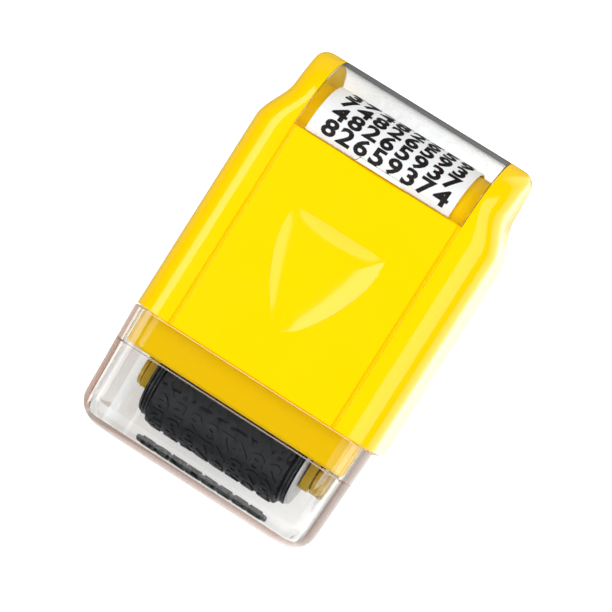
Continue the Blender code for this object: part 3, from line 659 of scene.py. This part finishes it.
class STAMP_OT_housing(bpy.types.Operator):
    """Build the yellow front and rear shells"""
    bl_idname = "stamp.housing"
    bl_label = "Housing"

    def execute(self, context):
        house = context.scene.stamp_housing
        body = loft("housing", self.stations(house), house.rail_radius, EDGE_STEPS)
        self.add_neck(house, body)
        self.cut_window_bed(house, body)
        for side in (-1, 1):
            for face in (-1, 1):
                self.cut_groove(house, body, side, face)
        self.cut_thumb(house, body)
        self.cut_nail(house, body)
        self.split(house, body)
        return {"FINISHED"}

    def stations(self, house):
        """Sections of the body from the collar past the shoulders to the tip."""
        tip = FRONT_HIGH.y
        result = [(house.collar, body_width(house, house.collar), 2 * MID_Z)]
        first = tip - house.shoulder_start
        for step in range(SHOULDER_STEPS):
            y = first + (house.shoulder_start - house.nose_run) * step / SHOULDER_STEPS
            result.append((y, body_width(house, y), 2 * MID_Z))
        for y, height in nose_curve(house, 0.0, tip - house.nose_run, NOSE_STEPS):
            result.append((y, body_width(house, y), 2 * height))
        return result

    def add_neck(self, house, body):
        """Adds the neck that the cap sits on, and hollows it and the body out."""
        step_y = house.collar + house.wall
        neck_end = FRONT_LOW.y
        side, height = 2 * house.neck_side, 2 * house.neck_height
        neck = loft("neck", [
            (neck_end, 2 * (house.neck_side - NECK_CHAMFER), 2 * (house.neck_height - NECK_CHAMFER)),
            (neck_end + NECK_CHAMFER, side, height),
            (step_y, side, height),
        ], house.neck_radius, NECK_STEPS)
        carve(body, neck, "UNION")
        side = 2 * (house.neck_side - house.neck_wall)
        height = 2 * (house.neck_height - house.neck_wall)
        mouth = loft("mouth", [
            (neck_end - house.wall, side, height),
            (step_y + house.wall, side, height),
        ], house.neck_radius - house.neck_wall, HOLLOW_STEPS)
        carve(body, mouth)
        side, height = 2 * (FRONT_HIGH.x - house.wall), 2 * (MID_Z - house.wall)
        cavity = loft("cavity", [
            (step_y, side, height),
            (FRONT_HIGH.y - house.window_length - house.wall, side, height),
        ], house.rail_radius - house.wall, HOLLOW_STEPS)
        carve(body, cavity)

    def cut_window_bed(self, house, body):
        """Clears the end between the arms down to the rounded bed under the label."""
        top = FRONT_HIGH.y - house.window_length
        bed_y = top + house.bed_lead
        half = recess_half_width(house)
        far = FRONT_HIGH.y + house.wall
        over = MID_Z + house.wall
        bend = [(bed_y + y, z) for z, y in arc(house.bed_height, house.bed_run, BED_STEPS)]
        outline = [(top, over), (top, house.bed_height)] + bend
        outline += [(y, -z) for y, z in reversed(bend[:-1])] + [(top, -house.bed_height), (top, -over)]
        outline += [(far, -over), (far, over)]
        carve(body, block_out("bed_tool", [(-half, y, MID_Z + z) for y, z in outline], (2 * half, 0, 0)))

    def cut_groove(self, house, body, side, face):
        """Cuts one of the long grooves in line with the arms' inner faces."""
        centre = side * (recess_half_width(house) - house.groove_width / 2)
        wide, deep = house.groove_width / 2, house.groove_depth
        profile = ((-wide, deep), (-wide, 0), (-wide / 2, -deep), (wide / 2, -deep), (wide, 0), (wide, deep))
        begin = house.collar - house.wall
        run = FRONT_HIGH.y - house.window_length + house.groove_width - begin
        points = [(centre + x, begin, MID_Z + face * (MID_Z + z)) for x, z in profile]
        carve(body, block_out("groove_tool", points, (0, run, 0)))

    def cut_thumb(self, house, body):
        """Sinks a dish in a rounded triangle: steep at its sides, flat in its middle and its corners."""
        side = [(x * house.thumb_width / 2, y * house.thumb_length) for x, y in THUMB_SIDE]
        side = smooth_outline(side, THUMB_SIDE_STEPS)
        reach = (house.thumb_width ** 2 / 4 + house.thumb_length ** 2) / (2 * house.thumb_length)
        middle = house.thumb_length / 2
        tip_y = FRONT_HIGH.y - house.window_length - house.thumb_lead - house.thumb_length
        tool = start(
            "thumb_tool", bpy.ops.mesh.primitive_grid_add, x_subdivisions=THUMB_CELLS,
            y_subdivisions=THUMB_CELLS, size=house.thumb_length + THUMB_MARGIN,
            location=(0, tip_y + middle, FRONT_HIGH.z))
        bpy.ops.object.mode_set(mode="OBJECT")
        for vertex in tool.data.vertices:
            x, y = vertex.co.xy
            inward = self.inward(side, abs(x), y + middle, house.thumb_length)
            # The three corners lie on one circle, and the dish runs out 1 mm outside it
            depth = max(1 - (x ** 2 + (y + middle - reach) ** 2) / (reach + MM) ** 2, LEAST_SHARE)
            vertex.co.z = -house.thumb_depth * depth * (1 - math.exp(-inward / house.thumb_slope))
        bpy.ops.object.mode_set(mode="EDIT")
        bpy.ops.mesh.select_all(action="SELECT")
        bpy.ops.mesh.extrude_region_move(TRANSFORM_OT_translate={"value": (0, 0, THUMB_RISE)})
        close()
        carve(body, tool)

    def inward(self, side, x, y, top):
        """How far a place lies inside the rounded triangle, negative outside."""
        nearest = top - y
        for (x0, y0), (x1, y1) in zip(side, side[1:]):
            run, rise = x1 - x0, y1 - y0
            share = min(max(((x - x0) * run + (y - y0) * rise) / (run ** 2 + rise ** 2), 0.0), 1.0)
            gap = math.dist((x, y), (x0 + share * run, y0 + share * rise))
            if (x - x0) * rise > (y - y0) * run:
                gap = -gap
            if abs(gap) < abs(nearest) or share not in (0.0, 1.0) and gap < 0:
                nearest = min(gap, nearest) if nearest < 0 else gap
        return nearest

    def cut_nail(self, house, body):
        """Cuts the shallow bow at the panel's edge that lets a nail under the window."""
        edge_y = FRONT_HIGH.y - house.window_length
        half = house.nail_width / 2
        shares = [step / NAIL_STEPS * 2 - 1 for step in range(NAIL_STEPS + 1)]
        bow = [(half * share, edge_y - house.nail_reach * (1 - share * share)) for share in shares]
        bow += [(half, edge_y + house.nail_reach), (-half, edge_y + house.nail_reach)]
        low = FRONT_HIGH.z - house.nail_depth
        carve(body, block_out(
            "nail_tool", [(x, y, low) for x, y in bow], (0, 0, house.nail_depth + house.wall)))

    def split(self, house, body):
        """Parts the body along its middle into the two shells."""
        material = moulded_abs("moulded_abs_yellow", house.plastic)
        for name, node, side in (("front_cover", "front_shell", 1), ("rear_cover", "rear_shell", -1)):
            activate(body)
            bpy.ops.object.duplicate()
            shell = bpy.context.object
            shell.name = shell.data.name = name
            bpy.ops.object.mode_set(mode="EDIT")
            bpy.ops.mesh.select_all(action="SELECT")
            bpy.ops.mesh.bisect(
                plane_co=(0, 0, MID_Z + side * house.seam), plane_no=(0, 0, side), use_fill=True,
                clear_inner=True)
            close()
            soften(shell, house.edge, SHELL_CREASE)
            place(shell, "housing", "housing", material, node)
        bpy.data.objects.remove(body)


class STAMP_OT_cap(bpy.types.Operator):
    """Build the clear push-on cap"""
    bl_idname = "stamp.cap"
    bl_label = "Cap"

    def execute(self, context):
        cap = context.scene.stamp_cap
        sections = self.stations(cap, 0.0, cap.corner, cap.end_edge)
        outside = loft("clear_cap", sections, cap.rail, EDGE_STEPS)
        inner = cap.wall + cap.ledge
        ledge_y = FRONT_LOW.y - STOP_GAP
        sections = [
            (CAP_HIGH.y + cap.wall, *self.size(cap, CAP_HIGH.y, cap.wall)),
            (ledge_y, *self.size(cap, ledge_y, cap.wall)),
            (ledge_y - LEDGE_SLOPE, *self.size(cap, ledge_y, inner)),
        ]
        sections += self.stations(cap, inner, cap.inner_corner, cap.inner_edge)[1:]
        carve(outside, loft("cap_inside", sections, cap.inner_rail, HOLLOW_STEPS))
        soften(outside, cap.edge)
        material = clear_styrene("clear_styrene_cap", cap)
        place(outside, "cap", "clear_cap", material, "cap")
        return {"FINISHED"}

    def size(self, cap, y, inset):
        """Width and height of the cap at a place along it, or of its inside."""
        share = (CAP_HIGH.y - y) / (CAP_HIGH.y - CAP_LOW.y)
        width = CAP_HIGH.x - CAP_LOW.x - 2 * cap.taper * share - 2 * inset
        return width, CAP_HIGH.z - CAP_LOW.z - cap.taper * share - 2 * inset

    def stations(self, cap, inset, plan, edge):
        """Sections from the mouth to the rounded blind end."""
        result = [(CAP_HIGH.y, *self.size(cap, CAP_HIGH.y, inset))]
        for across, along in arc(plan, plan, CAP_END_STEPS):
            y = CAP_LOW.y + cap.end_inset + inset + plan - along
            width, height = self.size(cap, y, inset)
            result.append((y, width - 2 * (plan - across), height - 2 * edge * (1 - across / plan)))
        return result


class STAMP_OT_window(bpy.types.Operator):
    """Build the clear window bent round the end"""
    bl_idname = "stamp.window"
    bl_label = "Window"

    def execute(self, context):
        house = context.scene.stamp_housing
        window = context.scene.stamp_window
        first = WINDOW_LOW.y
        outer = [(first, MID_Z)] + nose_curve(house, 0.0, first, WINDOW_STEPS)[1:]
        inner = [(first, MID_Z - window.wall)] + nose_curve(house, window.wall, first, WINDOW_STEPS)[1:]
        outline = outer + [(y, -z) for y, z in reversed(outer)]
        outline += [(y, -z) for y, z in inner] + [(y, z) for y, z in reversed(inner)]
        half = recess_half_width(house) - window.side_gap
        cover = block_out("clear_window", [(-half, y, MID_Z + z) for y, z in outline], (2 * half, 0, 0))
        wide, narrow = window.notch_width / 2, window.notch_width / 2 - NOTCH_SLOPE
        notch = [(-wide, first - MM), (wide, first - MM), (wide, first), (narrow, first + window.notch_reach)]
        notch += [(-narrow, first + window.notch_reach), (-wide, first)]
        low = FRONT_HIGH.z - 2 * window.wall
        carve(cover, block_out("notch_tool", [(x, y, low) for x, y in notch], (0, 0, 4 * window.wall)))
        soften(cover, window.edge)
        material = clear_styrene("clear_styrene_window", window)
        place(cover, "window", "clear_window", material, "label_window")
        return {"FINISHED"}


def number_shape(code, settings, depth, mirrored):
    """One plain number about its own middle, as a mesh."""
    bpy.ops.object.select_all(action="DESELECT")
    bpy.ops.object.text_add()
    text = bpy.context.object.data
    text.body = code
    text.offset = settings.stroke
    text.size = settings.digit_height / CAPITAL_SHARE
    text.extrude = depth / 2
    text.resolution_u = TEXT_STEPS
    bpy.ops.object.convert(target="MESH")
    shape = bpy.context.object
    low, high = Vector(shape.bound_box[0]), Vector(shape.bound_box[6])
    grow = settings.digit_height / (high.y - low.y)
    wide = grow * settings.spread
    if mirrored:
        wide = -wide
    shape.data.transform(Matrix.Diagonal((wide, grow, 1, 1)) @ Matrix.Translation(-(low + high) / 2))
    return shape


def number_grid(name, rows, settings, depth, mirrored=False):
    """Plain numbers in a grid in the XY plane, with the middle of the first row on the x axis."""
    kinds = [number_shape(code, settings, depth, mirrored) for code in NUMBERS]
    copies = []
    for row in range(rows):
        for column in range(COLUMNS):
            # Steps of 3 and 5 keep a number from standing beside or under itself
            activate(kinds[(3 * row + 5 * column) % len(kinds)])
            bpy.ops.object.duplicate()
            copy = bpy.context.object
            across = (column - (COLUMNS - 1) / 2) * settings.column_pitch
            copy.location = (across, row * settings.row_pitch, 0)
            copies.append(copy)
    for shape in kinds:
        bpy.data.objects.remove(shape)
    bpy.ops.object.select_all(action="DESELECT")
    for copy in copies:
        copy.select_set(True)
    bpy.context.view_layer.objects.active = copies[0]
    bpy.ops.object.join()
    grid = bpy.context.object
    grid.name = grid.data.name = name
    bpy.ops.object.transform_apply()
    bpy.ops.object.mode_set(mode="EDIT")
    bpy.ops.mesh.select_all(action="SELECT")
    bpy.ops.mesh.normals_make_consistent()
    bpy.ops.mesh.subdivide(number_cuts=1)
    bpy.ops.object.mode_set(mode="OBJECT")
    return grid


def wrap(piece, path):
    """Lays a flat piece along a path of (y, height), its y as the way along and its z off the path."""
    lengths = [0.0]
    for here, there in zip(path, path[1:]):
        lengths.append(lengths[-1] + math.dist(here, there))
    for vertex in piece.data.vertices:
        x, along, lift = vertex.co
        index = min(max(bisect.bisect(lengths, along) - 1, 0), len(path) - 2)
        share = (along - lengths[index]) / (lengths[index + 1] - lengths[index])
        (y0, z0), (y1, z1) = path[index], path[index + 1]
        out = Vector((z0 - z1, y1 - y0)).normalized()
        vertex.co = (
            x, y0 + (y1 - y0) * share + lift * out.x, MID_Z + z0 + (z1 - z0) * share + lift * out.y)
    piece.data.update()


class STAMP_OT_label(bpy.types.Operator):
    """Build the printed label under the window"""
    bl_idname = "stamp.label"
    bl_label = "Label"

    def execute(self, context):
        label = context.scene.stamp_label
        house = context.scene.stamp_housing
        dress(label_paper(context), "pattern_label")
        height = (LABEL_HIGH.z - LABEL_LOW.z) / 2
        bed_y = FRONT_HIGH.y - house.window_length + house.bed_lead
        bend = [(bed_y + y, z) for z, y in arc(height, LABEL_HIGH.y - bed_y, LABEL_STEPS)]
        front = [(LABEL_LOW.y, height)] + bend
        path = front + [(y, -z) for y, z in reversed(front[:-1])]
        marks = number_grid("label_print", label.rows, label, 2 * label.ink_lift)
        marks.data.transform(Matrix.Translation((label.print_shift, label.print_lead, 0)))
        wrap(marks, path)
        place(marks, "housing", "label", printed_ink(context))
        return {"FINISHED"}


class STAMP_OT_printing_roller(bpy.types.Operator):
    """Build the rubber printing roller with its raised numbers, rings and hubs"""
    bl_idname = "stamp.printing_roller"
    bl_label = "Printing Roller"

    def execute(self, context):
        roller = context.scene.stamp_roller
        rubber = moulded_rubber(context)
        outer = (DIE_HIGH.z - DIE_LOW.z) / 2
        base = outer - roller.mark_height
        half = DIE_HIGH.x
        bore = outer - RUBBER_THICKNESS
        profile = [(-half, bore), (-half, base), (half, base), (half, bore)]
        die = turn("rubber_die", profile, AXIS_Y, roller.segments)
        soften(die, roller.edge)
        place(die, "print_roller", "die_rubber", rubber, "print_die")

        label = context.scene.stamp_label
        rows = round(math.tau * base / label.row_pitch)
        stretch = math.tau * base / (rows * label.row_pitch)
        marks = number_grid("die_marks", rows, label, roller.mark_height + MARK_ROOT, mirrored=True)
        marks.data.transform(Matrix.Diagonal((1, stretch, 1, 1)))
        marks.data.transform(
            Matrix.Translation((0, label.row_pitch / 2, (roller.mark_height - MARK_ROOT) / 2)))
        # The path runs a little past a full turn, so that the last row has its whole height
        turns = [math.pi + math.tau * step / ROLLER_STEPS for step in range(ROLLER_STEPS + 5)]
        wrap(marks, [(AXIS_Y + base * math.sin(a), base * math.cos(a)) for a in turns])
        place(marks, "print_roller", "die_rubber", rubber)

        dark = acetal("turned_acetal_dark", roller.dark, DARK_ROUGHNESS)
        dress(dark, "drum_core", "end_ring_left", "end_ring_right", "hub_cap_left")
        # The frame's olive is painted shade on the yellow plastic in part, and ink stain in part
        olive = moulded_abs("moulded_abs_frame", context.scene.stamp_housing.frame_plastic_shaded_stained)
        dress(olive, "axle_bush_left", "axle_bush_right")
        dress(acetal("moulded_acetal_grey", roller.grey, GREY_ROUGHNESS), "hub_cap_right")
        dress(drawn_steel(), "drum_axle")
        return {"FINISHED"}


class STAMP_OT_inner_parts(bpy.types.Operator):
    """Finish the frame, the ink roller, its blocks and springs"""
    bl_idname = "stamp.inner_parts"
    bl_label = "Inner Parts"

    def execute(self, context):
        grey = acetal("moulded_acetal_grey", context.scene.stamp_roller.grey, GREY_ROUGHNESS)
        dress(moulded_abs("moulded_abs_frame", context.scene.stamp_housing.frame_plastic_shaded_stained), "roller_frame")
        dress(grey, "ink_core", "ink_bearing_left", "ink_bearing_right")
        dress(inked_foam(), "ink_sleeve")
        dress(drawn_steel(), "ink_axle", "ink_spring_left", "ink_spring_right")
        return {"FINISHED"}


class STAMP_OT_stage(bpy.types.Operator):
    """Lay the floor, hang the lamps and set the camera"""
    bl_idname = "stamp.stage"
    bl_label = "Stage"

    def execute(self, context):
        stage = context.scene.stamp_stage
        floor = start(
            "floor", bpy.ops.mesh.primitive_plane_add, size=FLOOR_SIZE, location=(0, 0, -FLOOR_DROP))
        bpy.ops.object.mode_set(mode="OBJECT")
        floor.data.materials.append(studio_paper_painted_glow(context))
        for softbox in SOFTBOXES:
            self.hang(context, *softbox)
        self.studio(context)
        self.camera(context, stage)
        return {"FINISHED"}

    def camera(self, context, stage):
        """Sets the camera square over the front face, then leans and rolls it as in the photograph."""
        centre = Vector((*CAMERA_AIM, 2 * MID_Z))
        back = Vector((math.tan(stage.lean_x), math.tan(stage.lean_y), 1.0)).normalized()
        right = Vector((0, 1, 0)).cross(back).normalized()
        up = back.cross(right)
        turned_right = math.cos(stage.roll) * right + math.sin(stage.roll) * up
        turned_up = math.cos(stage.roll) * up - math.sin(stage.roll) * right
        data = bpy.data.cameras.new("photo_camera")
        data.lens = stage.lens
        data.sensor_width = SENSOR_WIDTH
        data.clip_start = CLIP_START
        camera = bpy.data.objects.new("photo_camera", data)
        context.scene.collection.objects.link(camera)
        rotation = Matrix((turned_right, turned_up, back)).transposed().to_4x4()
        camera.matrix_world = Matrix.Translation(centre + back * stage.distance) @ rotation
        context.scene.camera = camera
        context.scene.view_settings.view_transform = "Standard"

    def studio(self, context):
        """A dim studio, so that the flat panel reflects nothing bright and keeps its colour."""
        world = bpy.data.worlds.new("studio")
        context.scene.world = world
        world.use_nodes = True
        background = world.node_tree.nodes["Background"]
        background.inputs["Color"].default_value = (1.0, 1.0, 1.0, 1.0)
        background.inputs["Strength"].default_value = STUDIO_LIGHT

    def hang(self, context, name, side, tilt, size, along, glow):
        """Hangs a softbox that is aimed at the stamp."""
        data = bpy.data.lights.new(name, "AREA")
        data.shape = "RECTANGLE"
        data.size, data.size_y = size
        data.energy = math.pi * glow * data.size * data.size_y
        lamp = bpy.data.objects.new(name, data)
        context.scene.collection.objects.link(lamp)
        aim = Matrix.Rotation(math.radians(side), 4, "Z") @ Matrix.Rotation(math.radians(tilt), 4, "Y")
        away = Matrix.Translation((0, 0, SOFTBOX_DISTANCE))
        lamp.matrix_world = Matrix.Translation((0, along, 0)) @ aim @ away


class STAMP_PT_panel(bpy.types.Panel):
    """Roller stamp pieces"""
    bl_idname = "STAMP_PT_panel"
    bl_label = "Roller Stamp"
    bl_space_type = "VIEW_3D"
    bl_region_type = "UI"
    bl_category = "Stamp"

    def draw(self, context):
        for piece in PIECES:
            self.layout.operator(piece.bl_idname)


SETTINGS = (
    ("stamp_housing", HousingSettings), ("stamp_cap", CapSettings), ("stamp_window", WindowSettings),
    ("stamp_label", LabelSettings), ("stamp_roller", RollerSettings), ("stamp_stage", StageSettings),
)
PIECES = (
    STAMP_OT_stage, STAMP_OT_housing, STAMP_OT_cap, STAMP_OT_window, STAMP_OT_label,
    STAMP_OT_printing_roller, STAMP_OT_inner_parts,
)


def register():
    for name, group in SETTINGS:
        bpy.utils.register_class(group)
        setattr(bpy.types.Scene, name, PointerProperty(type=group))
    for piece in PIECES + (STAMP_PT_panel,):
        bpy.utils.register_class(piece)


def unregister():
    for piece in reversed(PIECES + (STAMP_PT_panel,)):
        bpy.utils.unregister_class(piece)
    for name, group in reversed(SETTINGS):
        delattr(bpy.types.Scene, name)
        bpy.utils.unregister_class(group)


def main():
    register()
    bpy.ops.stamp.stage()
    bpy.ops.stamp.housing()
    bpy.ops.stamp.cap()
    bpy.ops.stamp.window()
    bpy.ops.stamp.label()
    bpy.ops.stamp.printing_roller()
    bpy.ops.stamp.inner_parts()


if __name__ == "__main__":
    main()
